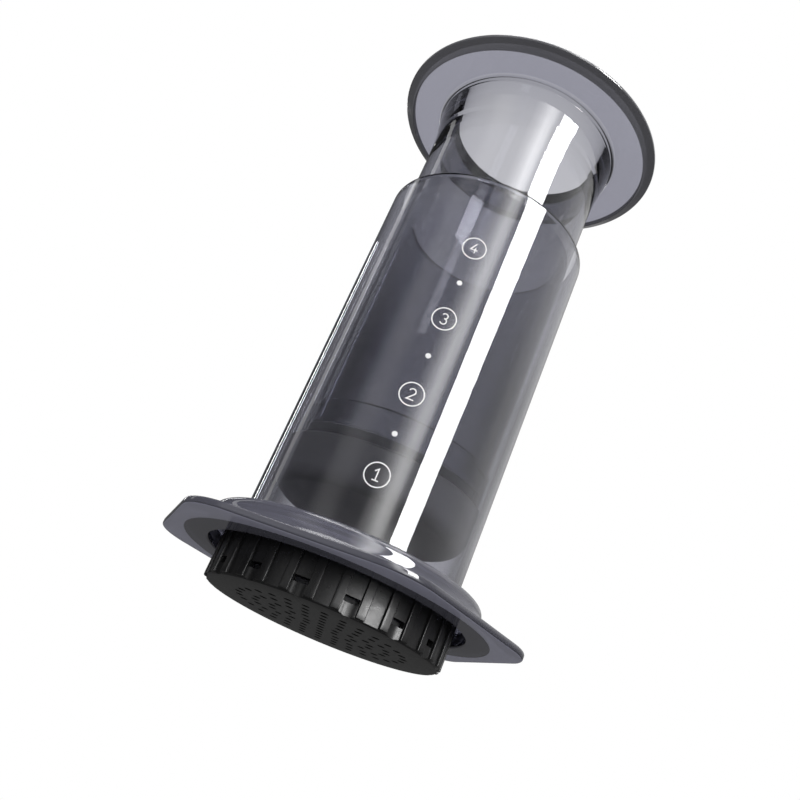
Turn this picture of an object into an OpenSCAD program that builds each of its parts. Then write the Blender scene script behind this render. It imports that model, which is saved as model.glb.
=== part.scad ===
// Hand press coffee maker: a clear chamber, a plunger with a rubber seal, and a twist-lock filter cap.
// Millimetres. +Z runs up the axis. The origin is the middle of the filter cap's underside.
// Azimuths are counted from +X towards +Y. The printed scale faces -Y.

/* [Paper filter] */
// Diameter of the paper disc
paper_d = 63.5; // [62.5:0.5:66]
// Width of the paper's edge that the chamber's rim clamps
paper_grip = 1.25; // [0.8:0.05:1.4]
// Thickness of the paper
paper_thickness = 0.2; // [0.1:0.05:0.5]

/* [Chamber] */
// Wall of the chamber's tube
chamber_wall = 2.5; // [2:0.1:3.5]
// Length of the chamber from rim to rim
chamber_length = 135.3; // [130:0.1:145]
// Rounding of the chamber's top rim
chamber_rim_round = 0.9; // [0.3:0.1:0.95]

/* [Flange and shoulder] */
// Reach of the flange's flats from the shoulder's side
flange_reach = 9.5; // [8:0.1:13]
// Radius of the flange's rounded corners
flange_corner_r = 18; // [8:1:30]
// Wall of the flange and of the shoulder above it
flange_wall = 2.1; // [1.6:0.1:2.6]
// Height of the flange's underside above the base
flange_height = 10.5; // [9:0.5:11.5]
// Azimuth of the middle of a flat, in degrees
flange_turn = 15.5; // [0:0.5:60]
// Gap between the cap's ribs and the side of the hollow under the shoulder
hollow_gap = 3.55; // [2.5:0.05:5]
// Gap between the cap's rim and the hollow's roof
roof_gap = 3.1; // [2.9:0.1:5]
// Rounding of the hollow's lower edge
hollow_edge_round = 0.5; // [0.2:0.1:1]
// Radius of the shoulder's rounded top edge
shoulder_round = 2.4; // [1:0.1:2.6]
// Radius of the hollow blend from the shoulder to the flange
shoulder_blend = 5; // [3:0.1:5]

/* [Twist lock] */
// Wall of the chamber's neck inside the cap
neck_wall = 1.5; // [1.2:0.1:1.8]
// Number of lugs on the neck, and of lugs and windows in the cap
lug_count = 16; // [8:1:16]
// Azimuth of the middle of a lug, in degrees
lug_turn = 8.5; // [0:0.5:22.5]
// Width of a lug, in degrees of arc
lug_arc = 8; // [5:0.5:8.5]
// Reach of a neck lug from the neck
lug_reach = 1.3; // [0.9:0.1:1.4]
// Height of a neck lug's lower face above the base
lug_height = 3.4; // [3:0.1:3.6]
// Thickness of a neck lug
lug_thickness = 1.5; // [1:0.1:1.6]
// Running gap between the cap's lock and the neck's
lock_gap = 0.3; // [0.2:0.05:0.4]
// Thickness of a cap lug
cap_lug_thickness = 1.8; // [1:0.1:2.4]
// Width of the stop beside a cap lug, in degrees of arc
stop_arc = 1.9; // [1:0.1:2.2]

/* [Filter cap] */
// Height of the cap
cap_height = 15; // [12:0.5:16]
// Thickness of the cap's floor
cap_floor = 2; // [1.5:0.1:2.4]
// Wall of the cap
cap_wall = 1.45; // [1.3:0.05:1.7]
// Bevel round the cap's lower edge
cap_bevel = 0.5; // [0.3:0.1:1]
// Rise of a rib from the cap's wall
rib_rise = 0.8; // [0.3:0.1:1]
// Width of a rib, in degrees of arc
rib_arc = 4.1; // [2:0.1:4.5]
// Height of a window in the cap's wall
window_height = 1.7; // [1:0.1:1.8]
// Width of a window
window_width = 4.1; // [2:0.1:4.2]
// Depth of the scoop below a window
scoop_depth = 0.5; // [0.2:0.1:0.8]

/* [Drain holes] */
// Diameter of a drain hole
drain_d = 2.2; // [1:0.1:3]
// Distance from one ring of drain holes to the next
drain_pitch = 5; // [3.6:0.1:5.4]
// Number of rings of drain holes round the middle one
drain_rings = 5; // [1:1:5]

/* [Plunger] */
// Height of the seal's lower face above the base, as the plunger stands
press_height = 32.5; // [4:0.5:120]
// Length of the plunger from the seal's top to the disc's top
plunger_length = 136.5; // [130:0.5:150]
// Gap between the plunger's tube and the chamber's bore
plunger_gap = 1.7; // [1.3:0.1:3.5]
// Wall of the plunger's tube
plunger_wall = 3; // [2:0.1:4]
// Growth of the tube's radius up to the crease below the disc
plunger_draft = 0.7; // [0.2:0.1:1]
// Gap between the collar above the seal and the chamber's bore
collar_gap = 0.9; // [0.5:0.1:1.2]
// Height of the collar above the seal
collar_height = 10.4; // [5:0.2:20]
// Depth of the crease below the disc
crease_depth = 10.6; // [8:0.2:14]
// Growth of the radius from the crease to the disc
crease_growth = 1.3; // [0.5:0.1:2.5]
// Growth of the bore's radius from the crease to the mouth
mouth_growth = 0.95; // [0.2:0.05:1.5]
// Radius of the fillet under the disc
disc_fillet = 1.9; // [1:0.1:3]
// Outside diameter of the disc
disc_d = 90; // [84:1:100]
// Thickness of the disc
disc_thickness = 3.4; // [2.6:0.1:5]
// Draw-in of the disc's side towards its underside
disc_undercut = 3.1; // [1:0.1:4]
// Rounding of the disc's top edge
disc_round = 0.9; // [0.4:0.1:1.2]
// Rounding of the mouth at the disc's top
mouth_round = 1.2; // [0.4:0.1:1.8]

/* [Seal] */
// Height of the seal
seal_height = 13.5; // [12:0.5:18]
// Running gap between the seal and the bore
seal_gap = 0.06; // [0.02:0.01:0.1]
// Rounding of the seal's lower edge
seal_round = 4.5; // [2:0.1:5]
// Bevel of the seal's upper edge
seal_bevel = 0.8; // [0.3:0.1:1.2]
// Distance from the chamber's bore to the stub inside the seal
stub_inset = 7.5; // [5.5:0.1:11.5]
// Length of the stub below the seal's top
stub_length = 8; // [6:0.1:8.5]
// Wall and floor of the stub
stub_wall = 2.5; // [1.5:0.1:3]
// Reach of the bead that holds the seal on the stub
bead_reach = 1; // [0.5:0.1:1.4]
// Gap between the stub's side and the seal
stub_gap = 0.1; // [0.05:0.01:0.2]

/* [Printed scale] */
// Azimuth of the scale, in degrees
mark_turn = -92.6; // [-180:0.1:180]
// Height of the first number above the base
first_mark_height = 37.3; // [30:0.1:45]
// Distance from one number to the next
mark_pitch = 25; // [15:0.5:29]
// Outside radius of a number's ring
ring_r = 3.65; // [2:0.05:5]
// Height of a number
digit_h = 3.3; // [2:0.1:4]
// Width of a printed line
line_w = 0.36; // [0.2:0.02:0.6]
// Radius of a dot
dot_r = 0.8; // [0.3:0.1:1.5]
// Thickness of the ink
ink = 0.08; // [0.04:0.01:0.2]

/* [Hidden] */
// Facets of a round preview, of a printed mark's round faces, and steps along a rounded edge
$fn = 96;
fine_fn = 720;
arc_steps = 6;
digit_steps = 14;
mark_count = 4;
sides = 6;
// Overrun of a cut past the face that it opens
over = 0.5;

// Chamber
bore_r = paper_d / 2 - paper_grip;
tube_r = bore_r + chamber_wall;
neck_r = bore_r + neck_wall;
neck_bevel = neck_wall / 5;
rim_z = cap_floor + paper_thickness;
chamber_top = rim_z + chamber_length;
lug_r = neck_r + lug_reach;

// Filter cap
cap_bore_r = lug_r + lock_gap;
cap_r = cap_bore_r + cap_wall;
rib_r = cap_r + rib_rise;

// Flange and shoulder, with the hollow that takes the cap's rim
hollow_r = rib_r + hollow_gap;
hollow_roof = cap_height + roof_gap;
shoulder_r = hollow_r + flange_wall;
shoulder_top = hollow_roof + flange_wall;
flange_top = flange_height + flange_wall;
flange_flat_r = shoulder_r + flange_reach;
// The blend ends where the shoulder's rounded edge begins
blend_r = min(shoulder_blend, shoulder_top - shoulder_round - flange_top);
blend_mid_r = shoulder_r + blend_r;
blend_mid_z = flange_top + blend_r;
// The hollow's upper edge keeps the shoulder's wall even, down to a small rounding
hollow_round = max(shoulder_round - flange_wall, flange_wall / 10);
foot_fillet = flange_wall / 3;

// Twist lock
lug_pitch = 360 / lug_count;
lug_top = lug_height + lug_thickness;
cap_lug_low = lug_top + lock_gap;
cap_lug_top = cap_lug_low + cap_lug_thickness;
cap_lug_r = neck_r + lock_gap;
stop_side = lug_arc / 2 + lock_gap / lug_r * 180 / PI;

window_low = cap_lug_low - lock_gap / 3 - window_height;

// Holes in the first ring of drain holes
drain_first_ring = 6;

// Seal and stub
seal_r = bore_r - seal_gap;
seal_low = press_height;
seal_top = seal_low + seal_height;
stub_r = bore_r - stub_inset;
stub_low = seal_top - stub_length;
stub_bore_r = stub_r - stub_wall;
bead_r = stub_r + bead_reach;
bead_low = stub_low + bead_reach;
bead_top = bead_low + 2 * bead_reach;

// Plunger
plunger_r = bore_r - plunger_gap;
plunger_top = seal_top + plunger_length;
disc_low = plunger_top - disc_thickness;
disc_r = disc_d / 2;
disc_low_r = disc_r - disc_undercut;
// Angle below the level at which the disc's rounded edge meets its drawn-in side
disc_side_angle = 35;
crease_z = disc_low - crease_depth;
crease_r = plunger_r + plunger_draft;
flare_z = crease_z - crease_depth;
flare_r = plunger_r + plunger_draft / 4;
under_r = crease_r + crease_growth;
collar_r = bore_r - collar_gap;
collar_top = seal_top + collar_height;
plunger_bore_r = plunger_r - plunger_wall;
crease_bore_r = plunger_bore_r + plunger_draft / 2;
mouth_r = crease_bore_r + mouth_growth;
plunger_floor = seal_top + stub_wall;
floor_round = plunger_wall;

// Points along an arc round [x, y] from one angle to another
function arc(mid, r, from, to, steps = arc_steps) =
    [for (i = [0:steps]) let (a = from + (to - from) * i / steps) mid + r * [cos(a), sin(a)]];

// Unit normal to the left of the way from one point to the next
function left_of(p, q) = [p[1] - q[1], q[0] - p[0]] / norm(q - p);

// Offset of a line's corner, so that both its sides keep the line's width
function corner_side(p, q, r) = let (m = left_of(p, q) + left_of(q, r)) 2 * m / (m * m);
function side_at(line, i) =
    i == 0 ? left_of(line[0], line[1])
    : i == len(line) - 1 ? left_of(line[i - 1], line[i])
    : corner_side(line[i - 1], line[i], line[i + 1]);

// Outline of a printed line of even width
function band(line, w) = concat(
    [for (i = [0:len(line) - 1]) line[i] + side_at(line, i) * w / 2],
    [for (i = [len(line) - 1:-1:0]) line[i] - side_at(line, i) * w / 2]);

// Copies round the axis
module around(count, turn = 0) {
    for (i = [0:count - 1])
        rotate([0, 0, turn + i * 360 / count])
            children();
}

// A straight tube from one height to another
module tube(outer, inner, low, high) {
    difference() {
        translate([0, 0, low])
            cylinder(r = outer, h = high - low);
        translate([0, 0, low - over])
            cylinder(r = inner, h = high - low + 2 * over);
    }
}

// A wedge from the axis, with its middle on the +X direction
module wedge(arc_width, reach, low, high) {
    half = arc_width / 2;
    translate([0, 0, low])
        linear_extrude(high - low)
            polygon([[0, 0], reach * [cos(half), -sin(half)], reach * [cos(half), sin(half)]]);
}

// Pieces of a ring, spread evenly round the axis
module ring_pieces(outer, inner, low, high, count, turn, arc_width) {
    intersection() {
        tube(outer, inner, low, high);
        around(count, turn)
            wedge(arc_width, 2 * outer, low - over, high + over);
    }
}

// The flange's outline: flat sides with round corners
module flange_outline() {
    corner_mid_r = (flange_flat_r - flange_corner_r) / cos(180 / sides);
    polygon([for (k = [0:sides - 1])
        let (a = flange_turn + (k + 0.5) * 360 / sides)
        each arc(corner_mid_r * [cos(a), sin(a)], flange_corner_r, a - 180 / sides, a + 180 / sides)]);
}

// Half section of the tube, shoulder, neck and the flange's inner part
module chamber_section() {
    polygon(concat(
        [[bore_r, rim_z], [neck_r - neck_bevel, rim_z], [neck_r, rim_z + neck_bevel], [neck_r, hollow_roof]],
        arc([hollow_r - hollow_round, hollow_roof - hollow_round], hollow_round, 90, 0),
        arc([hollow_r + hollow_edge_round, flange_height + hollow_edge_round], hollow_edge_round, 180, 270),
        [[blend_mid_r + flange_wall, flange_height], [blend_mid_r + flange_wall, flange_top]],
        arc([blend_mid_r, blend_mid_z], blend_r, 270, 180),
        arc([shoulder_r - shoulder_round, shoulder_top - shoulder_round], shoulder_round, 0, 90),
        arc([tube_r + foot_fillet, shoulder_top + foot_fillet], foot_fillet, 270, 180),
        arc([tube_r - chamber_rim_round, chamber_top - chamber_rim_round], chamber_rim_round, 0, 90),
        arc([bore_r + chamber_rim_round, chamber_top - chamber_rim_round], chamber_rim_round, 90, 180)));
}

// Clear moulding: tube, shoulder, six-sided flange, and neck with lugs
module chamber() {
    color("slategray", 0.5)
        union() {
            rotate_extrude()
                chamber_section();
            difference() {
                translate([0, 0, flange_height])
                    linear_extrude(flange_wall)
                        flange_outline();
                translate([0, 0, flange_height - over])
                    cylinder(r = blend_mid_r, h = flange_wall + 2 * over);
            }
            ring_pieces(lug_r, neck_r - neck_bevel, lug_height, lug_top, lug_count, lug_turn, lug_arc);
        }
}

// Half section of the plunger: stub, collar, tube, flare and disc
module plunger_section() {
    polygon(concat(
        [[0, stub_low], [stub_r, stub_low], [stub_r, bead_low], [bead_r, bead_low + bead_reach / 2],
         [bead_r, bead_top - bead_reach / 2], [stub_r, bead_top], [stub_r, seal_top],
         [collar_r, seal_top], [collar_r, collar_top],
         [plunger_r, collar_top + collar_r - plunger_r], [flare_r, flare_z],
         [(flare_r + crease_r) / 2 - plunger_draft / 10, (flare_z + crease_z) / 2], [crease_r, crease_z]],
        arc([under_r + disc_fillet, disc_low - disc_fillet], disc_fillet, 180, 90),
        [[disc_low_r, disc_low]],
        arc([disc_r - disc_round, plunger_top - disc_round], disc_round, -disc_side_angle, 90),
        arc([mouth_r + mouth_round, plunger_top - mouth_round], mouth_round, 90, 180),
        [[crease_bore_r, crease_z], [plunger_bore_r, plunger_floor + floor_round]],
        arc([plunger_bore_r - floor_round, plunger_floor + floor_round], floor_round, 0, -90),
        [[stub_bore_r, plunger_floor], [stub_bore_r, stub_low + stub_wall], [0, stub_low + stub_wall]]));
}

// Clear moulding: a tube closed at the bottom, with a disc to press on
module plunger() {
    color("lightslategray", 0.5)
        rotate_extrude()
            plunger_section();
}

// Rubber seal that snaps over the plunger's stub
module plunger_seal() {
    socket_r = stub_r + stub_gap;
    groove_r = bead_r + stub_gap;
    color("dimgray")
        rotate_extrude()
            polygon(concat(
                [[0, seal_low]],
                arc([seal_r - seal_round, seal_low + seal_round], seal_round, -90, 0),
                [[seal_r, seal_top - seal_bevel], [seal_r - seal_bevel, seal_top],
                 [socket_r, seal_top], [socket_r, bead_top + stub_gap],
                 [groove_r, bead_top - bead_reach / 2 + stub_gap],
                 [groove_r, bead_low + bead_reach / 2 - stub_gap],
                 [socket_r, bead_low - stub_gap], [socket_r, stub_low], [0, stub_low]]));
}

// Cup of the cap, with the bevel round its lower edge
module cap_cup() {
    rotate_extrude()
        polygon([[0, 0], [cap_r - cap_bevel, 0], [cap_r, cap_bevel], [cap_r, cap_height],
                 [cap_bore_r, cap_height], [cap_bore_r, cap_floor], [0, cap_floor]]);
}

// Rings of drain holes round a middle one
module drain_holes() {
    translate([0, 0, -over])
        cylinder(d = drain_d, h = cap_floor + 2 * over);
    for (ring = [1:drain_rings])
        around(ring * drain_first_ring, 180 / (ring * drain_first_ring) * (ring % 2))
            translate([ring * drain_pitch, 0, -over])
                cylinder(d = drain_d, h = cap_floor + 2 * over);
}

// A window through the cap's wall and the scoop below it
module window_cut() {
    translate([cap_bore_r - over, -window_width / 2, window_low])
        cube([cap_wall + 2 * over, window_width, window_height]);
    translate([cap_r - scoop_depth, -window_width / 2, -over])
        cube([scoop_depth + over, window_width, window_low + 2 * over]);
}

// Black moulding: ribbed cup with a perforated floor and the lock's inward lugs
module filter_cap() {
    color("#202022")
        union() {
            difference() {
                union() {
                    cap_cup();
                    ring_pieces(rib_r, cap_r - cap_bevel, cap_bevel, cap_height - cap_bevel,
                                2 * lug_count, lug_turn + lug_pitch / 4, rib_arc);
                }
                around(lug_count, lug_turn)
                    window_cut();
                drain_holes();
            }
            ring_pieces(cap_bore_r + cap_wall / 4, cap_lug_r, cap_lug_low, cap_lug_top,
                        lug_count, lug_turn, lug_arc);
            ring_pieces(cap_bore_r + cap_wall / 4, cap_lug_r, lug_height, cap_lug_top,
                        lug_count, lug_turn - stop_side - stop_arc / 2, stop_arc);
        }
}

// Paper disc on the cap's floor, under the chamber's rim
module paper_filter() {
    color("wheat")
        translate([0, 0, cap_floor])
            cylinder(d = paper_d, h = paper_thickness);
}

// A flat shape wrapped on the tube as a coat of ink, its middle at a height on the scale's azimuth
module printed(height) {
    color("white")
        intersection() {
            difference() {
                translate([0, 0, height - 2 * ring_r])
                    cylinder(r = tube_r + ink, h = 4 * ring_r, $fn = fine_fn);
                translate([0, 0, height - 2 * ring_r - over])
                    cylinder(r = tube_r, h = 4 * ring_r + 2 * over, $fn = fine_fn);
            }
            rotate([0, 0, mark_turn])
                translate([tube_r - over, 0, height])
                    rotate([90, 0, 90])
                        linear_extrude(ink + 2 * over)
                            children();
        }
}

// Centre lines of the numbers, as shares of a number's height
function digit_line_shares(n) =
    n == 1 ? [[[-0.28, 0.26], [0, 0.5], [0, -0.5]], [[-0.28, -0.5], [0.28, -0.5]]]
    : n == 2 ? [concat(arc([0, 0.22], 0.28, 165, -35, digit_steps), [[-0.3, -0.5], [0.32, -0.5]])]
    : n == 3 ? [arc([0, 0.25], 0.25, 155, -90, digit_steps), arc([0, -0.24], 0.28, 95, -155, digit_steps)]
    : [[[0.1, 0.5], [-0.3, -0.16], [0.34, -0.16]], [[0.12, 0.1], [0.12, -0.5]]];

// A number in its ring
module number_mark(n) {
    printed(first_mark_height + (n - 1) * mark_pitch) {
        difference() {
            circle(r = ring_r, $fn = fine_fn);
            circle(r = ring_r - line_w, $fn = fine_fn);
        }
        for (line = digit_line_shares(n))
            polygon(band(digit_h * line, line_w));
    }
}

module mark_1() {
    number_mark(1);
}

module mark_2() {
    number_mark(2);
}

module mark_3() {
    number_mark(3);
}

module mark_4() {
    number_mark(4);
}

// Dots halfway between the numbers
module mark_dots() {
    for (i = [0:mark_count - 2])
        printed(first_mark_height + (i + 0.5) * mark_pitch)
            circle(r = dot_r, $fn = fine_fn);
}

chamber();
plunger();
plunger_seal();
filter_cap();
paper_filter();
mark_1();
mark_2();
mark_3();
mark_4();
mark_dots();
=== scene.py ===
"""Looks of the hand press coffee maker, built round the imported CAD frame.

Sizes are millimetres in the row frame, turned into metres by MM where a mesh is made.
Azimuths are degrees counted from +X towards +Y. The printed scale faces -Y."""
import math
from collections import namedtuple

import bmesh
import bpy
from mathutils import Matrix, Vector
from mathutils.geometry import delaunay_2d_cdt


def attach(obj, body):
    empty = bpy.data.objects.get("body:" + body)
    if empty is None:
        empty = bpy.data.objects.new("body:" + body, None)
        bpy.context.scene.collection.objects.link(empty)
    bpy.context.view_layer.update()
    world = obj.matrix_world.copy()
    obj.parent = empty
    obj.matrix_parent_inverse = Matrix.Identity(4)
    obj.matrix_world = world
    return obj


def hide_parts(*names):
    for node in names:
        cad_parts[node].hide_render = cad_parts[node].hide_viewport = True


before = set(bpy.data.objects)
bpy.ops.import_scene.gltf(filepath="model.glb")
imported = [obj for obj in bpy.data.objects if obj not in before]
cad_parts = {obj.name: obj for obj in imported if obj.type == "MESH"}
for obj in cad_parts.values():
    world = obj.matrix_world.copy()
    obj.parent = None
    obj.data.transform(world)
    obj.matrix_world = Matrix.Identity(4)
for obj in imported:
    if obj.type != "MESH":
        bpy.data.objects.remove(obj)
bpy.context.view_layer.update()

MM = 0.001

# Camera, fitted to the photograph's 800 pixel frame
FRAME_PX = 800
FOCAL_PX = 904.35
CENTRE_PX = (410, 450)
SENSOR_MM = 36
CAMERA_PLACE = Vector((3.933, -258.516, -34.938))
CAMERA_RISE = 20.02
CAMERA_ROLL = 22.81
CLIP_START = 10

# Chamber
BORE_R = 30.5
TUBE_R = 33
NECK_R = 32
NECK_BEVEL = 0.3
RIM_Z = 2.2
CHAMBER_TOP = 137.5
RIM_ROUND = 0.9
FLANGE_LOW = 10.5
FLANGE_TOP = 12.6
FLANGE_FLAT_R = 50.93
FLANGE_CORNER_R = 18
FLANGE_TURN = 15.5
FLANGE_EDGE_ROUND = 0.6
SIDES = 6
SHOULDER_R = 41.5
SHOULDER_TOP = 20.2
SHOULDER_ROUND = 2.4
BLEND_R = 5
BLEND_MID = (46.5, 17.6)
PLATE_INNER_R = 48.6
HOLLOW_ROOF = 18.1
HOLLOW_ROUND = 0.3
HOLLOW_R = 39.4
HOLLOW_EDGE_ROUND = 0.5
FOOT_FILLET = 0.7

# Twist lock
LUG_COUNT = 16
LUG_PITCH = 360 / LUG_COUNT
LUG_TURN = 8.5
LUG_ARC = 8
LUG_R = 33.3
LUG_LOW = 3.4
LUG_TOP = 4.9
LUG_EDGE = 0.1

# Plunger
STUB_R = 23
STUB_LOW = 38
STUB_BORE_R = 20.5
STUB_FLOOR = 40.5
BEAD_R = 24
BEAD_LOW = 39
BEAD_TOP = 41
BEAD_BEVEL = 0.5
LEDGE_Z = 46
COLLAR_R = 29.6
COLLAR_TOP = 56.4
PLUNGER_R = 28.8
TAPER_TOP = 57.2
CREASE_Z = 168.5
FLARE = ((28.975, 157.9), (29.17, 163.2), (29.5, CREASE_Z), (30.8, 177.2))
DISC_FILLET = 1.9
DISC_LOW = 179.1
DISC_LOW_R = 41.9
DISC_R = 45
DISC_ROUND = 0.9
DISC_SIDE_ANGLE = 35
PLUNGER_TOP = 182.5
MOUTH_R = 27.1
MOUTH_ROUND = 1.2
CREASE_BORE_R = 26.15
PLUNGER_BORE_R = 25.8
PLUNGER_FLOOR = 48.5
FLOOR_ROUND = 3

# Seal
SEAL_R = 30.44
SEAL_LOW = 32.5
SEAL_ROUND = 4.5
SEAL_BEVEL = 0.8
SOCKET_R = 23.1
GROOVE_R = 24.1
GROOVE_LOW = 39.4
GROOVE_TOP = 40.6
SOCKET_GAP = 0.1

# Filter cap
CAP_R = 35.05
CAP_BORE_R = 33.6
CAP_TOP = 15
CAP_FLOOR = 2
CAP_BEVEL = 0.5
CAP_RIM_BREAK = 0.3
RIB_RISE = 0.8
RIB_ARC = 4.1
RIB_OFFSET = LUG_PITCH / 4
RIB_ROUND = 0.2
WINDOW_LOW = 3.4
WINDOW_TOP = 5.1
WINDOW_WIDTH = 4.1
WINDOW_HALF_TURN = math.degrees(math.asin(WINDOW_WIDTH / 2 / CAP_R))
SCOOP_DEPTH = 0.5
CAP_LUG_R = 32.3
CAP_LUG_LOW = 5.2
CAP_LUG_TOP = 7
STOP_FROM = -6.416
STOP_TO = -4.516
DRAIN_R = 1.1
DRAIN_PITCH = 5
DRAIN_RINGS = 5
DRAIN_FIRST_RING = 6
DRAIN_CHAMFER = 0.15
DRAIN_SIDES = 24

# Columns and rows of the cap's wall: angles that step round a rib's edge, shares of a window's half width,
# degrees between the columns of a flat stretch, degrees and heights that keep neighbours apart, the offset
# past which an added column has a rib's full rise, and the heights of plain rows
ROUND_ANGLES = (10, 40, 65, 90)
WINDOW_SHARES = (0.25, 0.5, 0.75, 1)
FLAT_STEP = 1.3
RIB_NUDGE = 0.01
EDGE_NUDGE = 0.03
RIB_FULL_FROM = 5
RIB_START = 0.02
SCOOP_END = 0.04
LUG_END = 0.05
UPPER_ROWS = (9, 11, 13)
TINY = 1e-6
Column = namedtuple("Column", "offset rise in_window in_lug in_stop")
Row = namedtuple("Row", "height inset rise")

# Paper
PAPER_R = 31.75
PAPER_THICKNESS = 0.2

# Mesh fineness: steps round the axis and along arcs, the distance of the extra points that keep straight
# stretches flat, the length from which a stretch has them, and the angle from which an edge stays sharp
CHAMBER_STEPS = 720
ROUND_STEPS = 480
ARC_STEPS = 10
SEAL_STEPS = 14
BLEND_STEPS = 16
RIM_STEPS = 8
SMALL_STEPS = 6
HOLLOW_EDGE_STEPS = 5
BEVEL_STEPS = 4
HOLLOW_STEPS = 3
HOLD = 0.12
LONG_STRETCH = 5 * HOLD
SHARP_ANGLE = 38
MERGE_DISTANCE = 0.001
# How a flat face with holes is divided: only inside its rim, and points this near are one, in metres
INSIDE_ONLY = 1
SAME_PLACE = 1e-9

# Sockets of a Mix node: its factor, and its two inputs and its output for values and for colours
MIX_FACTOR = 0
MIX_VALUES = (2, 3, 0)
MIX_COLOURS = (6, 7, 2)

# Clear plastic: the colour that it lets through, how strongly it absorbs the rest, and its refraction
SMOKE = (0.03, 0.035, 0.125, 1)
SMOKE_DENSITY = 215
CLEAR_IOR = 1.5
# Rings of the clear mouldings that are toned darker or milkier, with painted light and shade in several:
# inner and outer radius, low and top height, shade, how clear they stay, and roughness
# Chamber, row by row: the flange's underside painted lighter and its side and top painted darker than the
# lamps leave them, the shoulder's top and side milky, and painted shade on the underside round the cap, in
# the hollow under the shoulder and on the neck behind the cap's windows, which is also frosted
CHAMBER_MILK_AND_PAINTED_SHADE = ((46.5, 60, 10, 10.6, 0.72, 0.4, 0), (46.5, 60, 10.7, 13, 0.16, 0.5, 0),
                 (34, 46.5, 18.4, 20.4, 0.28, 0.66, 0), (39.7, 46.5, 11, 18.4, 0.28, 0.66, 0),
                 (39.3, 46.5, 10, 11, 0.12, 0.1, 0), (34, 39.6, 11, 18.3, 0.12, 1, 0),
                 (0, 34, 0, 10.4, 0.06, 1, 0.6))
# Plunger, row by row: the disc's thick edge painted darker for the dark that light's long way through it
# gives, the disc's ring tinted grey, and the band at the plunger's floor toned dark and milky
PLUNGER_MILK_AND_PAINTED_SHADE = ((41.7, 46, 178.9, 183, 0.2, 0.3, 0.1), (31.5, 41.7, 178.9, 183, 0.72, 1, 0),
                 (0, 30, 45.9, 48.7, 0.12, 0.3, 0))
# How soft the rings' edges are, across and in height
SOFT_RADIUS = 0.3
SOFT_HEIGHT = 0.1
# How much bluer than grey the milky places are
CHAMBER_BLUE = 1.25
PLUNGER_BLUE = 1.09

# Noise that a value follows: swells per metre, detail, and the range of the value
CLEAR_TONE = (40, 3, 0.97, 1)
CLEAR_SHARE = (30, 2, 0.998, 1)
CLEAR_ROUGHNESS = (90, 4, 0.0, 0.004)
CAP_ROUGHNESS = (900, 3, 0.27, 0.35)
SEAL_ROUGHNESS = (1500, 3, 0.42, 0.58)
INK_ROUGHNESS = (3000, 3, 0.4, 0.55)
# The part of the noise's own span that is stretched to the range
NOISE_LOW = 0.3
NOISE_HIGH = 0.7

# Noise that a colour follows: swells per metre, detail and the darker and the lighter colour
CAP_COLOURS = (60, 4, (0.010, 0.010, 0.0105, 1), (0.016, 0.016, 0.017, 1))
SEAL_COLOURS = (120, 4, (0.14, 0.14, 0.145, 1), (0.19, 0.19, 0.195, 1))
PAPER_COLOURS = (1800, 6, (0.70, 0.66, 0.58, 1), (0.84, 0.80, 0.73, 1))
INK_COLOURS = (2500, 4, (0.80, 0.80, 0.80, 1), (0.92, 0.92, 0.92, 1))
FLOOR_COLOURS = (3, 2, (0.84, 0.84, 0.84, 1), (0.88, 0.88, 0.88, 1))

# Grain: swells per metre, detail, strength and depth
CAP_GRAIN = (5200, 2, 0.06, 0.04)
SEAL_GRAIN = (7000, 2, 0.2, 0.03)
PAPER_GRAIN = (2600, 6, 0.6, 0.06)
EVEN_NOISE = 0.5
FIBROUS_NOISE = 0.7
PAPER_ROUGHNESS = 0.9
FLOOR_ROUGHNESS = 0.7

# Floor: half its side in metres, and its height
FLOOR_REACH = 3.0
FLOOR_Z = -0.1

# Lamps: azimuth, elevation, then distance, width and height in metres, and radiance. They face the axis at
# the height AIM_Z
STRIP = (-51, 27, 1.0, 0.34, 0.75, 25)
LEFT_RIM = (126, 19, 1.0, 0.03, 0.46, 9)
LEFT_STRIPE = (156, 24, 1.0, 0.12, 0.62, 1.2)
KEY = (-105, 42, 1.6, 1.2, 0.9, 4)
INNER_STRIPE = (-115, 42, 1.6, 0.24, 0.9, 3.2)
AIM_Z = 90

# Brightness of the studio by azimuth, as the shiny faces see it high up, as they see it near the level,
# and as the clear walls see it
SHINE_STOPS = ((-180, 0.02), (-150, 0.02), (-138, 0.7), (-126, 0.7), (-114, 0.15), (-97, 0.3), (-89, 2.2),
               (-83, 5.0), (-77, 8.0), (-71, 6.5), (-66, 1.5), (-60, 0.6), (-22, 0.7), (-3, 1.0), (9, 1.3),
               (25, 1.2), (34, 0.9), (60, 0.8), (80, 0.25), (100, 0.2), (110, 0.05), (180, 0.02))
LOW_STOPS = ((-180, 0.02), (-150, 0.02), (-138, 0.9), (-126, 0.9), (-114, 0.2), (-97, 0.3), (-86, 1),
             (-76, 4.5), (-62, 7), (-47, 6.5), (-36, 1.5), (-26, 0.25), (60, 0.2), (100, 0.1), (180, 0.02))
CLEAR_STOPS = ((-180, 0.8), (-20, 0.6), (50, 0.45), (70, 0.55), (78, 1), (98, 1), (103, 0.45), (109, 0.15),
               (122, 0.12), (132, 0.5), (180, 0.8))
# Scale of the stops of the two rings that shiny faces see, and of the one that clear walls see
SHINE_TOP = 8
CLEAR_TOP = 1
# Where the studio changes with height: the sine of the elevation at which each change begins and ends
LEVEL_CHANGE = (-0.1, 0.1)
RING_CHANGE = (0.17, 0.27)
CLEAR_CHANGE = (0.42, 0.56)
OVERHEAD_CHANGE = (0.9, 0.94)
# Brightness where no ring says it
SHINE_BELOW = 0.1
SHINE_OVERHEAD = 5.0
CLEAR_ABOVE = 1.0
FILL_BELOW = 0.3
FILL_ABOVE = 0.95
BACKDROP = 1.0


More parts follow.
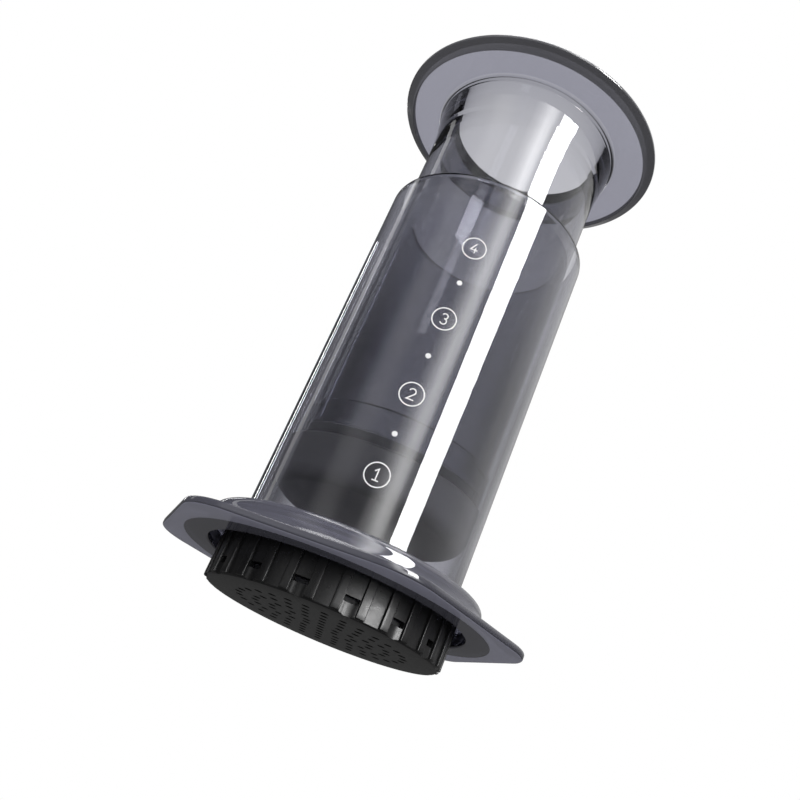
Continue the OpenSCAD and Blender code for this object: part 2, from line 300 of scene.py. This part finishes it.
def arc(mid, radius, start, end, steps=ARC_STEPS):
    """Points along an arc of a half section, from one angle to another."""
    angles = (math.radians(start + (end - start) * i / steps) for i in range(steps + 1))
    return [(mid[0] + radius * math.cos(a), mid[1] + radius * math.sin(a)) for a in angles]


def held(points):
    """The closed section, with points added near the ends of its long stretches to keep these flat."""
    kept = []
    for p, q in zip(points, points[1:] + points[:1]):
        kept.append(p)
        if callable(p[0]) or callable(q[0]):
            continue
        length = math.dist(p, q)
        if length > LONG_STRETCH:
            for share in (HOLD / length, 1 - HOLD / length):
                kept.append((p[0] + (q[0] - p[0]) * share, p[1] + (q[1] - p[1]) * share))
    return kept


def polar(radius, azimuth, height):
    """A mesh point at a radius, an azimuth in radians and a height."""
    return radius * math.cos(azimuth) * MM, radius * math.sin(azimuth) * MM, height * MM


def turned(name, section, steps):
    """A solid turned round the axis from a closed half section. A radius may be a function of the azimuth."""
    verts, rings = [], []
    for radius, height in section:
        ring = []
        for i in range(1 if radius == 0 else steps):
            azimuth = 2 * math.pi * i / steps
            r = radius(math.degrees(azimuth)) if callable(radius) else radius
            ring.append(len(verts))
            verts.append(polar(r, azimuth, height))
        rings.append(ring)
    faces = []
    for low, high in zip(rings, rings[1:] + rings[:1]):
        for i in range(steps):
            j = (i + 1) % steps
            corners = [low[i % len(low)], low[j % len(low)], high[j % len(high)], high[i % len(high)]]
            face = list(dict.fromkeys(corners))
            if len(face) > 2:
                faces.append(face)
    return solid(name, verts, faces)


def solid(name, verts, faces):
    """A smooth shaded mesh object whose faces look outwards, with its sharp edges kept."""
    mesh = bpy.data.meshes.new(name)
    mesh.from_pydata(verts, [], faces)
    work = bmesh.new()
    work.from_mesh(mesh)
    bmesh.ops.remove_doubles(work, verts=work.verts, dist=MERGE_DISTANCE * MM)
    bmesh.ops.recalc_face_normals(work, faces=work.faces)
    work.to_mesh(mesh)
    work.free()
    mesh.polygons.foreach_set("use_smooth", [True] * len(mesh.polygons))
    mesh.set_sharp_from_angle(angle=math.radians(SHARP_ANGLE))
    piece = bpy.data.objects.new(name, mesh)
    bpy.context.scene.collection.objects.link(piece)
    return piece


def flange_radius(azimuth):
    """Radius of the six-sided flange's outline at an azimuth."""
    half_side = 180 / SIDES
    turn = (azimuth - FLANGE_TURN + half_side) % (2 * half_side) - half_side
    flat_end = (FLANGE_FLAT_R - FLANGE_CORNER_R) * math.tan(math.radians(half_side))
    if abs(turn) < math.degrees(math.atan2(flat_end, FLANGE_FLAT_R)):
        return FLANGE_FLAT_R / math.cos(math.radians(turn))
    to_corner = math.radians(half_side - abs(turn))
    mid_r = (FLANGE_FLAT_R - FLANGE_CORNER_R) / math.cos(math.radians(half_side))
    across = mid_r * math.sin(to_corner)
    return mid_r * math.cos(to_corner) + math.sqrt(FLANGE_CORNER_R ** 2 - across ** 2)


def flange_inset(inset):
    """A function that gives the flange's outline less an inset."""
    return lambda azimuth: flange_radius(azimuth) - inset


def lug_offset(azimuth):
    """Degrees from the middle of the nearest lug."""
    return (azimuth - LUG_TURN + LUG_PITCH / 2) % LUG_PITCH - LUG_PITCH / 2


def neck_lug(azimuth):
    """Radius of the neck at an azimuth, at the height of its lugs."""
    return LUG_R if abs(lug_offset(azimuth)) <= LUG_ARC / 2 + LUG_EDGE else NECK_R


def flange_edge():
    """The flange's rounded edge, from its underside to its top."""
    low = arc((0, FLANGE_LOW + FLANGE_EDGE_ROUND), FLANGE_EDGE_ROUND, -90, 0, SMALL_STEPS)
    top = arc((0, FLANGE_TOP - FLANGE_EDGE_ROUND), FLANGE_EDGE_ROUND, 0, 90, SMALL_STEPS)
    return [(flange_inset(FLANGE_EDGE_ROUND - x), z) for x, z in low + top]


def make_chamber():
    """The tube with its flange, shoulder and hollow, and the neck with its lugs."""
    section = [(BORE_R, RIM_Z), (NECK_R - NECK_BEVEL, RIM_Z), (NECK_R, RIM_Z + NECK_BEVEL),
               (NECK_R, LUG_LOW), (neck_lug, LUG_LOW + LUG_EDGE), (neck_lug, LUG_TOP - LUG_EDGE),
               (NECK_R, LUG_TOP), (NECK_R, HOLLOW_ROOF)]
    section += arc((HOLLOW_R - HOLLOW_ROUND, HOLLOW_ROOF - HOLLOW_ROUND), HOLLOW_ROUND, 90, 0, HOLLOW_STEPS)
    section += arc((HOLLOW_R + HOLLOW_EDGE_ROUND, FLANGE_LOW + HOLLOW_EDGE_ROUND), HOLLOW_EDGE_ROUND,
                   180, 270, HOLLOW_EDGE_STEPS)
    section += [(PLATE_INNER_R, FLANGE_LOW)] + flange_edge() + [(PLATE_INNER_R, FLANGE_TOP)]
    section += arc(BLEND_MID, BLEND_R, 270, 180, BLEND_STEPS)
    section += arc((SHOULDER_R - SHOULDER_ROUND, SHOULDER_TOP - SHOULDER_ROUND), SHOULDER_ROUND, 0, 90)
    section += arc((TUBE_R + FOOT_FILLET, SHOULDER_TOP + FOOT_FILLET), FOOT_FILLET, 270, 180, SMALL_STEPS)
    section += arc((TUBE_R - RIM_ROUND, CHAMBER_TOP - RIM_ROUND), RIM_ROUND, 0, 90, RIM_STEPS)
    section += arc((BORE_R + RIM_ROUND, CHAMBER_TOP - RIM_ROUND), RIM_ROUND, 90, 180, RIM_STEPS)
    return turned("chamber_clear", held(section), CHAMBER_STEPS)


def make_plunger():
    """The stub that carries the seal, the tube with its collar and flare, and the disc."""
    section = [(0, STUB_LOW), (STUB_R, STUB_LOW), (STUB_R, BEAD_LOW), (BEAD_R, BEAD_LOW + BEAD_BEVEL),
               (BEAD_R, BEAD_TOP - BEAD_BEVEL), (STUB_R, BEAD_TOP), (STUB_R, LEDGE_Z),
               (COLLAR_R, LEDGE_Z), (COLLAR_R, COLLAR_TOP), (PLUNGER_R, TAPER_TOP), *FLARE]
    section += arc((FLARE[-1][0] + DISC_FILLET, FLARE[-1][1]), DISC_FILLET, 180, 90)[1:]
    section += [(DISC_LOW_R, DISC_LOW)]
    section += arc((DISC_R - DISC_ROUND, PLUNGER_TOP - DISC_ROUND), DISC_ROUND, -DISC_SIDE_ANGLE, 90)
    section += arc((MOUTH_R + MOUTH_ROUND, PLUNGER_TOP - MOUTH_ROUND), MOUTH_ROUND, 90, 180)
    section += [(CREASE_BORE_R, CREASE_Z)]
    section += arc((PLUNGER_BORE_R - FLOOR_ROUND, PLUNGER_FLOOR + FLOOR_ROUND), FLOOR_ROUND, 0, -90)
    section += [(STUB_BORE_R, PLUNGER_FLOOR), (STUB_BORE_R, STUB_FLOOR), (0, STUB_FLOOR)]
    return turned("plunger_clear", held(section), ROUND_STEPS)


def make_seal():
    """The seal, rounded below, with the socket and groove that snap over the stub's bead."""
    section = [(0, SEAL_LOW)]
    section += arc((SEAL_R - SEAL_ROUND, SEAL_LOW + SEAL_ROUND), SEAL_ROUND, -90, 0, SEAL_STEPS)
    section += [(SEAL_R, LEDGE_Z - SEAL_BEVEL), (SEAL_R - SEAL_BEVEL, LEDGE_Z), (SOCKET_R, LEDGE_Z),
                (SOCKET_R, BEAD_TOP + SOCKET_GAP), (GROOVE_R, GROOVE_TOP), (GROOVE_R, GROOVE_LOW),
                (SOCKET_R, BEAD_LOW - SOCKET_GAP), (SOCKET_R, STUB_LOW), (0, STUB_LOW)]
    return turned("seal_rubber", held(section), ROUND_STEPS)


def make_paper():
    """The paper disc on the cap's floor."""
    top = CAP_FLOOR + PAPER_THICKNESS
    section = [(0, CAP_FLOOR), (PAPER_R, CAP_FLOOR), (PAPER_R, top), (0, top)]
    return turned("paper_disc", section, ROUND_STEPS)


def rounded_rise(angle):
    """Share of a rib's rise at an angle along its rounded edge."""
    return 1 - RIB_ROUND / RIB_RISE * (1 - math.sin(math.radians(angle)))


def column_rises():
    """The columns of the cap's wall over one lug pitch: for each one's degrees from the window's middle, its
    share of a rib's rise."""
    half_pitch = LUG_PITCH / 2
    round_turn = math.degrees(RIB_ROUND / CAP_R)
    rises = {0: 0, half_pitch - 2 * FLAT_STEP: 0, half_pitch - FLAT_STEP: 0, half_pitch: 0,
             FLAT_STEP - half_pitch: 0, 2 * FLAT_STEP - half_pitch: 0}
    for share in WINDOW_SHARES:
        rises[share * WINDOW_HALF_TURN] = 0
        rises[-share * WINDOW_HALF_TURN] = 0
    for rib in (-RIB_OFFSET, RIB_OFFSET):
        rises[rib] = 1
        for side in (-1, 1):
            edge = rib + side * RIB_ARC / 2
            rises[edge] = 0
            for angle in ROUND_ANGLES:
                inwards = round_turn * (1 - math.cos(math.radians(angle))) + RIB_NUDGE
                rises[edge - side * inwards] = rounded_rise(angle)
    for edge in (-LUG_ARC / 2, LUG_ARC / 2, STOP_FROM, STOP_TO):
        for side in (-EDGE_NUDGE, EDGE_NUDGE):
            place = edge + side
            near = min(rises, key=lambda offset: abs(offset - place))
            rises.setdefault(place, rises[near] if abs(place) < RIB_FULL_FROM else 1)
    return rises


def cap_columns():
    """Columns of the cap's wall over one lug pitch, in order."""
    columns = []
    for offset, rise in sorted(column_rises().items()):
        in_rib = abs(abs(offset) - RIB_OFFSET) < RIB_ARC / 2
        columns.append(Column(offset, rise if in_rib else 0, abs(offset) <= WINDOW_HALF_TURN + TINY,
                              abs(offset) <= LUG_ARC / 2, STOP_FROM <= offset <= STOP_TO))
    return columns


def cap_rows():
    """Rows of the cap's wall, from its underside up. An inset is added to the outside's radius."""
    edge = [Row(z, x - CAP_BEVEL, 0) for x, z in arc((0, CAP_BEVEL), CAP_BEVEL, -90, 0, BEVEL_STEPS)]
    edge += [Row(CAP_BEVEL + RIB_START + RIB_ROUND * (1 - math.cos(math.radians(angle))), 0,
                 rounded_rise(angle)) for angle in ROUND_ANGLES]
    heights = (CAP_FLOOR, WINDOW_LOW - SCOOP_END, WINDOW_LOW, (WINDOW_LOW + WINDOW_TOP) / 2, WINDOW_TOP,
               CAP_LUG_LOW, CAP_LUG_TOP, CAP_LUG_TOP + LUG_END, *UPPER_ROWS)
    top_edge = [Row(CAP_TOP - row.height, row.inset, row.rise) for row in reversed(edge)]
    return edge + [Row(height, 0, 1) for height in heights] + top_edge


def outer_radius(column, row):
    """Radius of the cap's outside, which dips in a scoop below each window."""
    radius = CAP_R + row.inset + RIB_RISE * min(column.rise, row.rise)
    if column.in_window and row.height <= WINDOW_LOW:
        across = column.offset / WINDOW_HALF_TURN
        radius = min(radius, CAP_R - SCOOP_DEPTH * (1 - across ** 2))
    return radius


def inner_radius(column, row):
    """Radius of the cap's inside, with its lugs and stops and the broken edge of its rim."""
    lug = column.in_lug and CAP_LUG_LOW <= row.height <= CAP_LUG_TOP
    stop = column.in_stop and LUG_LOW <= row.height <= CAP_LUG_TOP
    if lug or stop:
        return CAP_LUG_R
    return CAP_BORE_R + max(0, row.height - CAP_TOP + CAP_RIM_BREAK)


def cap_wall(columns, rows):
    """Points of the cap's wall, and which of them lie outside and inside, row by row."""
    verts, outer, inner = [], [], []
    for row in rows:
        outer.append([])
        inner.append([])
        for lug in range(LUG_COUNT):
            for column in columns:
                azimuth = math.radians(LUG_TURN + lug * LUG_PITCH + column.offset)
                outer[-1].append(len(verts))
                verts.append(polar(outer_radius(column, row), azimuth, row.height))
                inner[-1].append(len(verts))
                verts.append(polar(inner_radius(column, row), azimuth, max(row.height, CAP_FLOOR)))
    return verts, outer, inner


def is_open(columns, rows, row, column):
    """Whether the wall is open between a row and a column and the next ones, as part of a window."""
    if rows[row].height < WINDOW_LOW or rows[row + 1].height > WINDOW_TOP:
        return False
    return columns[column % len(columns)].in_window and columns[(column + 1) % len(columns)].in_window


def cap_wall_faces(columns, rows, outer, inner):
    """Faces of the cap's wall, outside and inside, of the edges of its windows and of its rim."""
    faces = []
    count = len(outer[0])
    for row in range(len(rows) - 1):
        for i in range(count):
            j = (i + 1) % count
            if is_open(columns, rows, row, i):
                for level, step in ((row, -1), (row + 1, 1)):
                    if not is_open(columns, rows, row + step, i):
                        faces.append((outer[level][i], outer[level][j], inner[level][j], inner[level][i]))
                for side, step in ((i, -1), (j, 1)):
                    if not is_open(columns, rows, row, i + step):
                        faces.append((outer[row][side], outer[row + 1][side],
                                      inner[row + 1][side], inner[row][side]))
                continue
            faces.append((outer[row][i], outer[row][j], outer[row + 1][j], outer[row + 1][i]))
            if rows[row + 1].height > CAP_FLOOR:
                faces.append((inner[row][i], inner[row][j], inner[row + 1][j], inner[row + 1][i]))
    for i in range(count):
        j = (i + 1) % count
        faces.append((outer[-1][i], outer[-1][j], inner[-1][j], inner[-1][i]))
    return faces


def make_cap():
    """The cap's ribbed wall with its windows, lugs and stops, and the floor with its drain holes."""
    columns, rows = cap_columns(), cap_rows()
    verts, outer, inner = cap_wall(columns, rows)
    faces = cap_wall_faces(columns, rows, outer, inner)
    low_rims, high_rims = add_drains(verts, faces)
    add_floor_face(verts, faces, outer[0], low_rims)
    add_floor_face(verts, faces, inner[0], high_rims)
    return solid("cap_black", verts, faces)


def drain_places():
    """The middle of each drain hole, ring by ring round the one in the middle. Every other ring is turned by
    half the step between its holes."""
    places = [(0, 0)]
    for ring in range(1, DRAIN_RINGS + 1):
        count = ring * DRAIN_FIRST_RING
        turned_by = ring % 2 / 2
        for i in range(count):
            azimuth = math.radians((i + turned_by) * 360 / count)
            places.append((ring * DRAIN_PITCH * math.cos(azimuth), ring * DRAIN_PITCH * math.sin(azimuth)))
    return places


def add_drains(verts, faces):
    """Adds the walls of the chamfered drain holes, and gives the holes' rims below and above."""
    rings = []
    for radius, z in ((DRAIN_R + DRAIN_CHAMFER, 0), (DRAIN_R, DRAIN_CHAMFER),
                      (DRAIN_R, CAP_FLOOR - DRAIN_CHAMFER), (DRAIN_R + DRAIN_CHAMFER, CAP_FLOOR)):
        level = []
        for x, y in drain_places():
            loop = []
            for i in range(DRAIN_SIDES):
                a = 2 * math.pi * i / DRAIN_SIDES
                loop.append(len(verts))
                verts.append(((x + radius * math.cos(a)) * MM, (y + radius * math.sin(a)) * MM, z * MM))
            level.append(loop)
        rings.append(level)
    for low, high in zip(rings, rings[1:]):
        for a, b in zip(low, high):
            for i in range(DRAIN_SIDES):
                j = (i + 1) % DRAIN_SIDES
                faces.append((a[i], a[j], b[j], b[i]))
    return rings[0], rings[-1]


def add_floor_face(verts, faces, rim, holes):
    """Adds a flat face of the cap's floor, from its rim to the rims of its holes."""
    places = [Vector(place) * MM for place in drain_places()]
    height = verts[holes[0][0]][2]
    points, edges = [], []
    for loop in [rim, *holes]:
        first = len(points)
        points += [Vector(verts[v][:2]) for v in loop]
        edges += [(first + i, first + (i + 1) % len(loop)) for i in range(len(loop))]
    found, _, triangles, _, _, _ = delaunay_2d_cdt(points, edges, [], INSIDE_ONLY, SAME_PLACE)
    start = len(verts)
    verts += [(p.x, p.y, height) for p in found]
    for triangle in triangles:
        mid = sum((found[v] for v in triangle), Vector((0, 0))) / len(triangle)
        if all((mid - place).length > DRAIN_R * MM for place in places):
            faces.append([start + v for v in triangle])


def adder(tree):
    """A function that adds a node to the tree, sets its values, and links or sets its sockets."""
    def add(kind, sources=(), **values):
        node = tree.nodes.new(kind)
        for key, value in values.items():
            setattr(node, key, value)
        for socket, source in dict(sources).items():
            if isinstance(source, bpy.types.NodeSocket):
                tree.links.new(source, node.inputs[socket])
            else:
                node.inputs[socket].default_value = source
        return node
    return add


def new_material(name):
    """A node material, with its shader, a function that adds nodes, and its links."""
    material = bpy.data.materials.new(name)
    material.use_nodes = True
    tree = material.node_tree
    return material, tree.nodes["Principled BSDF"], adder(tree), tree.links


def noise(add, swells, detail, roughness=EVEN_NOISE):
    """Noise over the object's own coordinates, with a number of swells per metre."""
    place = add("ShaderNodeTexCoord")
    return add("ShaderNodeTexNoise", {"Vector": place.outputs["Object"], "Scale": swells,
                                      "Detail": detail, "Roughness": roughness}).outputs["Fac"]


def wandering(add, swells, detail, low, high):
    """A value that follows noise within a range."""
    span = add("ShaderNodeMapRange", {"Value": noise(add, swells, detail), "From Min": NOISE_LOW,
                                      "From Max": NOISE_HIGH, "To Min": low, "To Max": high})
    return span.outputs["Result"]


def colour(add, links, shader, swells, detail, dark, light, roughness=EVEN_NOISE):
    """Gives the shader a base colour that follows noise between two colours."""
    first, second, result = MIX_COLOURS
    mix = add("ShaderNodeMix", {MIX_FACTOR: noise(add, swells, detail, roughness), first: dark,
                                second: light}, data_type="RGBA")
    links.new(mix.outputs[result], shader.inputs["Base Color"])


def grain(add, links, shader, swells, detail, strength, depth, roughness=EVEN_NOISE):
    """Gives the shader a fine relief."""
    bump = add("ShaderNodeBump", {"Height": noise(add, swells, detail, roughness), "Strength": strength,
                                  "Distance": depth * MM})
    links.new(bump.outputs["Normal"], shader.inputs["Normal"])


def product(add, first, second):
    """Two values multiplied."""
    return add("ShaderNodeMath", {0: first, 1: second}, operation="MULTIPLY").outputs[0]


def within_ring(add, radius, height, inner, outer, low, top):
    """A mask that is 1 inside a ring, given by its radii and heights, and 0 outside it."""
    masks = []
    for value, edge, soft in ((radius, inner, SOFT_RADIUS), (radius, outer, -SOFT_RADIUS),
                              (height, low, SOFT_HEIGHT), (height, top, -SOFT_HEIGHT)):
        masks.append(add("ShaderNodeMapRange", {"Value": value, "From Min": (edge - soft) * MM,
                                                "From Max": edge * MM, "To Min": 0,
                                                "To Max": 1}).outputs["Result"])
    within = masks[0]
    for mask in masks[1:]:
        within = product(add, within, mask)
    return within


def scaled_within(add, value, within, share):
    """The value, scaled down to a share of itself where the mask is 1."""
    scale = add("ShaderNodeMapRange", {"Value": within, "To Min": 1, "To Max": share}).outputs["Result"]
    return product(add, value, scale)


def clear_plastic(name, milk_and_painted_shade, blue):
    """Smoke-grey clear plastic, polished, with fine wiping marks. Each zone is a ring of the moulding that
    is toned down to a shade, which is painted shade in some rings and painted light in one, stays clear to a
    share and may be frosted."""
    material, shader, add, links = new_material(name)
    place = add("ShaderNodeSeparateXYZ", {"Vector": add("ShaderNodeTexCoord").outputs["Object"]})
    across = add("ShaderNodeCombineXYZ", {"X": place.outputs["X"], "Y": place.outputs["Y"]})
    radius = add("ShaderNodeVectorMath", {"Vector": across.outputs[0]}, operation="LENGTH").outputs["Value"]
    tone_and_painted_shade = wandering(add, *CLEAR_TONE)
    clear = wandering(add, *CLEAR_SHARE)
    rough = wandering(add, *CLEAR_ROUGHNESS)
    for inner, outer, low, top, shade, share, frost in milk_and_painted_shade:
        within = within_ring(add, radius, place.outputs["Z"], inner, outer, low, top)
        # Painted shade, and under the flange painted light, tones the rings down here
        tone_and_painted_shade = scaled_within(add, tone_and_painted_shade, within, shade)
        clear = scaled_within(add, clear, within, share)
        if frost:
            frosted = add("ShaderNodeMath", {0: within, 1: frost, 2: rough}, operation="MULTIPLY_ADD")
            rough = frosted.outputs[0]
    cool = add("ShaderNodeMath", {0: tone_and_painted_shade, 1: blue}, operation="MULTIPLY", use_clamp=True).outputs[0]
    base = add("ShaderNodeCombineColor", {"Red": tone_and_painted_shade, "Green": tone_and_painted_shade, "Blue": cool})
    links.new(base.outputs["Color"], shader.inputs["Base Color"])
    links.new(clear, shader.inputs["Transmission Weight"])
    shader.inputs["IOR"].default_value = CLEAR_IOR
    links.new(rough, shader.inputs["Roughness"])
    tint = add("ShaderNodeVolumeAbsorption", {"Color": SMOKE, "Density": SMOKE_DENSITY})
    links.new(tint.outputs["Volume"], material.node_tree.nodes["Material Output"].inputs["Volume"])
    return material


def black_plastic():
    """Black moulded plastic with a fine satin grain and faint darker and lighter patches."""
    material, shader, add, links = new_material("cap_plastic")
    colour(add, links, shader, *CAP_COLOURS)
    links.new(wandering(add, *CAP_ROUGHNESS), shader.inputs["Roughness"])
    grain(add, links, shader, *CAP_GRAIN)
    return material


def rubber():
    """Grey rubber with a satin skin."""
    material, shader, add, links = new_material("seal_rubber")
    colour(add, links, shader, *SEAL_COLOURS)
    links.new(wandering(add, *SEAL_ROUGHNESS), shader.inputs["Roughness"])
    grain(add, links, shader, *SEAL_GRAIN)
    return material


def paper():
    """Fibrous filter paper."""
    material, shader, add, links = new_material("filter_paper")
    colour(add, links, shader, *PAPER_COLOURS, roughness=FIBROUS_NOISE)
    shader.inputs["Roughness"].default_value = PAPER_ROUGHNESS
    grain(add, links, shader, *PAPER_GRAIN, roughness=FIBROUS_NOISE)
    return material


def ink():
    """White printed ink."""
    material, shader, add, links = new_material("scale_ink")
    colour(add, links, shader, *INK_COLOURS)
    links.new(wandering(add, *INK_ROUGHNESS), shader.inputs["Roughness"])
    return material


def dress(piece, material, body, node):
    """Gives a piece its material and its body, and lets it replace its CAD node."""
    piece.data.materials.append(material)
    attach(piece, body)
    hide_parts(node)


def make_pieces():
    """The pieces that replace the CAD's own, and the ink of the printed ones that stay."""
    chamber_plastic = clear_plastic("chamber_plastic", CHAMBER_MILK_AND_PAINTED_SHADE, CHAMBER_BLUE)
    dress(make_chamber(), chamber_plastic, "chamber", "chamber")
    plunger_plastic = clear_plastic("plunger_plastic", PLUNGER_MILK_AND_PAINTED_SHADE, PLUNGER_BLUE)
    dress(make_plunger(), plunger_plastic, "plunger", "plunger")
    dress(make_seal(), rubber(), "plunger", "plunger_seal")
    dress(make_cap(), black_plastic(), "cap", "filter_cap")
    dress(make_paper(), paper(), "cap", "paper_filter")
    print_ink = ink()
    for node in ("mark_1", "mark_2", "mark_3", "mark_4", "mark_dots"):
        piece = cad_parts[node]
        piece.data.materials.clear()
        piece.data.materials.append(print_ink)


def make_camera():
    """A camera at the photograph's place, looking along +Y and up, and rolled as the photograph is."""
    rise, roll = math.radians(CAMERA_RISE), math.radians(CAMERA_ROLL)
    forward = Vector((0, math.cos(rise), math.sin(rise)))
    level_up = Vector((0, -math.sin(rise), math.cos(rise)))
    across = Vector((1, 0, 0))
    right = math.cos(roll) * across + math.sin(roll) * level_up
    up = math.cos(roll) * level_up - math.sin(roll) * across
    data = bpy.data.cameras.new("camera")
    data.sensor_width = SENSOR_MM
    data.lens = FOCAL_PX / FRAME_PX * SENSOR_MM
    data.shift_x = (FRAME_PX / 2 - CENTRE_PX[0]) / FRAME_PX
    data.shift_y = (CENTRE_PX[1] - FRAME_PX / 2) / FRAME_PX
    data.clip_start = CLIP_START * MM
    camera = bpy.data.objects.new("camera", data)
    bpy.context.scene.collection.objects.link(camera)
    turn = Matrix((right, up, -forward)).transposed()
    camera.matrix_world = Matrix.Translation(CAMERA_PLACE * MM) @ turn.to_4x4()
    bpy.context.scene.camera = camera


def make_floor():
    """A pale floor that is seen from above only, since the photograph looks up from below it."""
    mesh = bpy.data.meshes.new("floor")
    corners = [(x * FLOOR_REACH, y * FLOOR_REACH, FLOOR_Z * MM)
               for x, y in ((-1, -1), (1, -1), (1, 1), (-1, 1))]
    mesh.from_pydata(corners, [], [(0, 1, 2, 3)])
    floor = bpy.data.objects.new("floor", mesh)
    bpy.context.scene.collection.objects.link(floor)
    material, shader, add, links = new_material("floor")
    colour(add, links, shader, *FLOOR_COLOURS)
    shader.inputs["Roughness"].default_value = FLOOR_ROUGHNESS
    side = add("ShaderNodeNewGeometry").outputs["Backfacing"]
    clear = add("ShaderNodeBsdfTransparent").outputs[0]
    seen = add("ShaderNodeMixShader", {0: side, 1: shader.outputs[0], 2: clear})
    links.new(seen.outputs[0], material.node_tree.nodes["Material Output"].inputs["Surface"])
    mesh.materials.append(material)
    floor.visible_diffuse = False
    floor.visible_glossy = False
    floor.visible_shadow = False


def lamp(name, place, diffuse=False, glossy=True, transmission=True):
    """An area lamp that faces the object's middle, with a radiance as a colour would have, and is seen by
    the named kinds of rays."""
    azimuth, elevation, distance, width, height, radiance = place
    data = bpy.data.lights.new(name, "AREA")
    data.shape = "RECTANGLE"
    data.size, data.size_y = width, height
    data.energy = radiance * math.pi * width * height
    a, e = math.radians(azimuth), math.radians(elevation)
    way = Vector((math.cos(a) * math.cos(e), math.sin(a) * math.cos(e), math.sin(e)))
    light = bpy.data.objects.new(name, data)
    bpy.context.scene.collection.objects.link(light)
    light.location = Vector((0, 0, AIM_Z * MM)) + way * distance
    light.rotation_euler = way.to_track_quat("Z", "Y").to_euler()
    light.visible_camera = False
    light.visible_diffuse = diffuse
    light.visible_glossy = glossy
    light.visible_transmission = transmission


def make_lamps():
    """The lamps of the studio, each seen only by the rays that it is meant for."""
    lamp("strip", STRIP, transmission=False)
    lamp("left_rim", LEFT_RIM)
    lamp("left_stripe", LEFT_STRIPE)
    lamp("key", KEY, diffuse=True, glossy=False, transmission=False)
    lamp("inner_stripe", INNER_STRIPE, glossy=False)


def ring_light(add, azimuth, stops, top):
    """Brightness by azimuth, from stops of degrees and brightness."""
    ramp = add("ShaderNodeValToRGB", {"Fac": azimuth})
    points = ramp.color_ramp.elements
    while len(points) < len(stops):
        points.new(0)
    for point, (degrees, bright) in zip(points, stops):
        point.position = (degrees + 180) / 360
        point.color = (bright / top, bright / top, bright / top, 1)
    return product(add, ramp.outputs["Color"], top)


def blend(add, factor, low, high):
    """One brightness where the factor is 0, another where it is 1."""
    first, second, result = MIX_VALUES
    return add("ShaderNodeMix", {MIX_FACTOR: factor, first: low, second: high}).outputs[result]


def make_world():
    """The studio's brightness by direction, as shiny faces, clear walls and matt faces each see it, and the
    white backdrop that the camera sees."""
    world = bpy.data.worlds.new("studio")
    bpy.context.scene.world = world
    world.use_nodes = True
    tree = world.node_tree
    add = adder(tree)
    way = add("ShaderNodeSeparateXYZ", {0: add("ShaderNodeTexCoord").outputs["Generated"]})
    turn = add("ShaderNodeMath", {0: way.outputs["Y"], 1: way.outputs["X"]}, operation="ARCTAN2")

    def share(value, low, high):
        span = add("ShaderNodeMapRange", {"Value": value, "From Min": low, "From Max": high})
        return span.outputs["Result"]

    def risen(change):
        return share(way.outputs["Z"], *change)

    azimuth = share(turn.outputs[0], -math.pi, math.pi)
    above = risen(LEVEL_CHANGE)
    low_ring = ring_light(add, azimuth, LOW_STOPS, SHINE_TOP)
    high_ring = ring_light(add, azimuth, SHINE_STOPS, SHINE_TOP)
    shine = blend(add, risen(RING_CHANGE), low_ring, high_ring)
    shine = blend(add, above, SHINE_BELOW, shine)
    shine = blend(add, risen(OVERHEAD_CHANGE), shine, SHINE_OVERHEAD)
    clear_ring = ring_light(add, azimuth, CLEAR_STOPS, CLEAR_TOP)
    clear = blend(add, risen(CLEAR_CHANGE), clear_ring, CLEAR_ABOVE)
    fill = blend(add, above, FILL_BELOW, FILL_ABOVE)
    path = add("ShaderNodeLightPath")
    light = blend(add, path.outputs["Is Glossy Ray"], fill, shine)
    light = blend(add, path.outputs["Is Transmission Ray"], light, clear)
    light = blend(add, path.outputs["Is Camera Ray"], light, BACKDROP)
    tree.links.new(light, tree.nodes["Background"].inputs["Color"])


make_camera()
make_pieces()
make_floor()
make_lamps()
make_world()
bpy.context.scene.view_settings.view_transform = "Standard"
